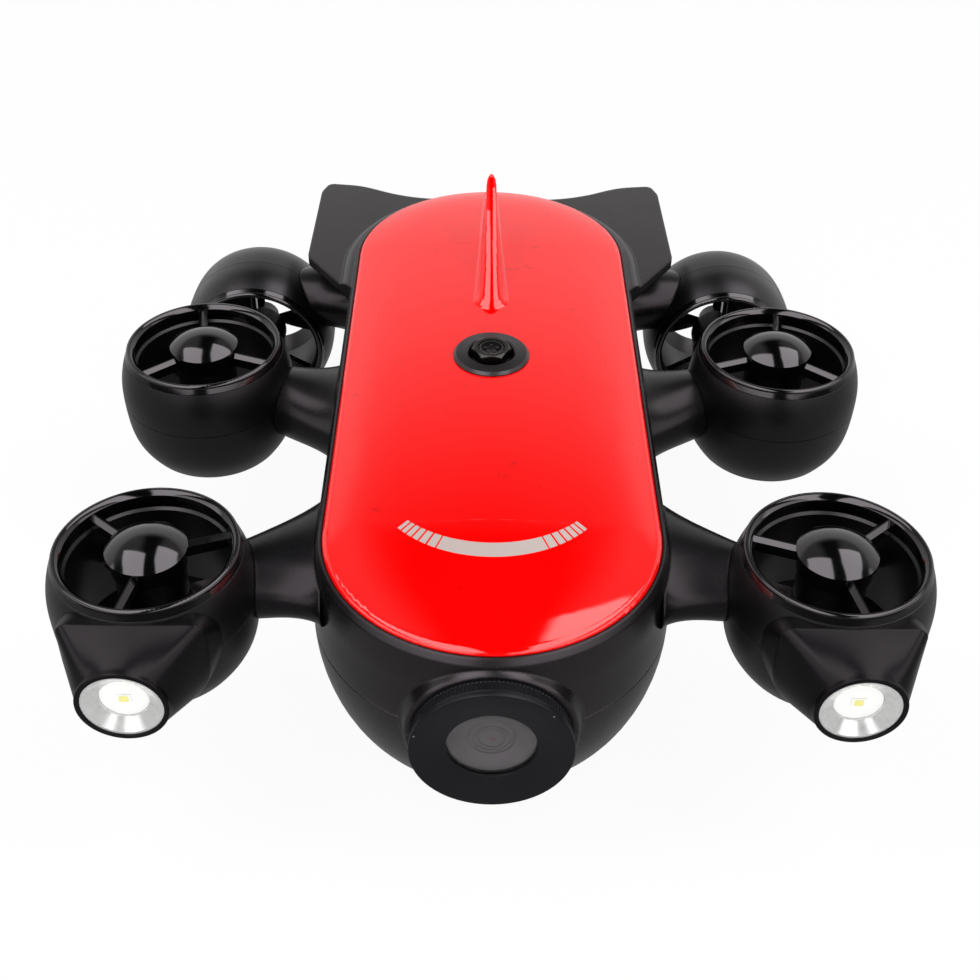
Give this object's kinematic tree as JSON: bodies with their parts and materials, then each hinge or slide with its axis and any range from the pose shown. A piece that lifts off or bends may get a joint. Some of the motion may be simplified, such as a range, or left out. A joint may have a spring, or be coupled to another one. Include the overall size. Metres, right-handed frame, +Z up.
{
  "type": "underwater inspection rov",
  "caption": "Compact underwater inspection vehicle: stadium-shaped hull with a red finned cover, nose camera, lamps and ducted thrusters on side arms.",
  "frame": {"origin": "middle of the footprint, on the surface that the skids stand on", "axes": "the camera and lamps face -Y, the tail plate is at +Y, +Z is up through the fin, X runs across the thrusters"},
  "size_m": [0.3544, 0.3896, 0.1473],
  "materials": {
    "hull": "satin black",
    "seal": "matte",
    "cover": "high gloss red",
    "bezel": "satin black",
    "connector_nut": "dark satin",
    "connector": "matte black",
    "port": "clear",
    "clamp": "ribbed black",
    "camera": "matte black",
    "duct": "satin black",
    "reflector": "polished",
    "lamp_board": "white",
    "battery": "anodised",
    "board": "satin",
    "skid": "matte",
    "arm": "satin black",
    "guard": "gloss black",
    "motor": "dark satin",
    "shaft": "ground",
    "propeller": "satin black"
  },
  "bodies": {
    "vehicle": {"upper_hull": "hull", "lower_hull": "hull", "hull_seal": "seal", "top_cover": "cover", "connector_bezel": "bezel", "camera_bezel": "bezel", "connector_nut": "connector_nut", "connector_body": "connector", "camera_window": "port", "camera_clamp_ring": "clamp", "camera_module": "camera", "lamp_housings": "duct", "lamp_reflectors": "reflector", "lamp_boards": "lamp_board", "lamp_lenses": "port", "battery_pack": "battery", "electronics_tray": "board", "belly_skids": "skid", "arm_front_left": "arm", "guard_ring_front_left": "guard", "duct_shell_front_left": "duct", "duct_nozzle_front_left": "duct", "motor_front_left": "motor", "arm_front_right": "arm", "guard_ring_front_right": "guard", "duct_shell_front_right": "duct", "duct_nozzle_front_right": "duct", "motor_front_right": "motor", "arm_mid_left": "arm", "guard_ring_mid_left": "guard", "duct_shell_mid_left": "duct", "duct_nozzle_mid_left": "duct", "motor_mid_left": "motor", "arm_mid_right": "arm", "guard_ring_mid_right": "guard", "duct_shell_mid_right": "duct", "duct_nozzle_mid_right": "duct", "motor_mid_right": "motor", "arm_rear_left": "arm", "guard_ring_rear_left": "guard", "duct_shell_rear_left": "duct", "duct_nozzle_rear_left": "duct", "motor_rear_left": "motor", "arm_rear_right": "arm", "guard_ring_rear_right": "guard", "duct_shell_rear_right": "duct", "duct_nozzle_rear_right": "duct", "motor_rear_right": "motor"},
    "rotor_front_left": {"propeller_front_left": "propeller", "rotor_shaft_front_left": "shaft"},
    "rotor_front_right": {"propeller_front_right": "propeller", "rotor_shaft_front_right": "shaft"},
    "rotor_mid_left": {"propeller_mid_left": "propeller", "rotor_shaft_mid_left": "shaft"},
    "rotor_mid_right": {"propeller_mid_right": "propeller", "rotor_shaft_mid_right": "shaft"},
    "rotor_rear_left": {"propeller_rear_left": "propeller", "rotor_shaft_rear_left": "shaft"},
    "rotor_rear_right": {"propeller_rear_right": "propeller", "rotor_shaft_rear_right": "shaft"}
  },
  "joints": [
    {"name": "front_left_propeller_spin", "type": "hinge", "parent": "vehicle", "child": "rotor_front_left", "pos_m": [-0.1335, -0.1339, 0.0804], "axis": [0, 0, 1], "continuous": true},
    {"name": "front_right_propeller_spin", "type": "hinge", "parent": "vehicle", "child": "rotor_front_right", "pos_m": [0.1335, -0.1339, 0.0804], "axis": [0, 0, 1], "continuous": true},
    {"name": "mid_left_propeller_spin", "type": "hinge", "parent": "vehicle", "child": "rotor_mid_left", "pos_m": [-0.1365, 0.0207, 0.071], "axis": [0, 0, 1], "continuous": true},
    {"name": "mid_right_propeller_spin", "type": "hinge", "parent": "vehicle", "child": "rotor_mid_right", "pos_m": [0.1365, 0.0207, 0.071], "axis": [0, 0, 1], "continuous": true},
    {"name": "rear_left_propeller_spin", "type": "hinge", "parent": "vehicle", "child": "rotor_rear_left", "pos_m": [-0.1276, 0.1362, 0.0439], "axis": [0, -1, 0], "continuous": true},
    {"name": "rear_right_propeller_spin", "type": "hinge", "parent": "vehicle", "child": "rotor_rear_right", "pos_m": [0.1276, 0.1362, 0.0439], "axis": [0, -1, 0], "continuous": true}
  ]
}
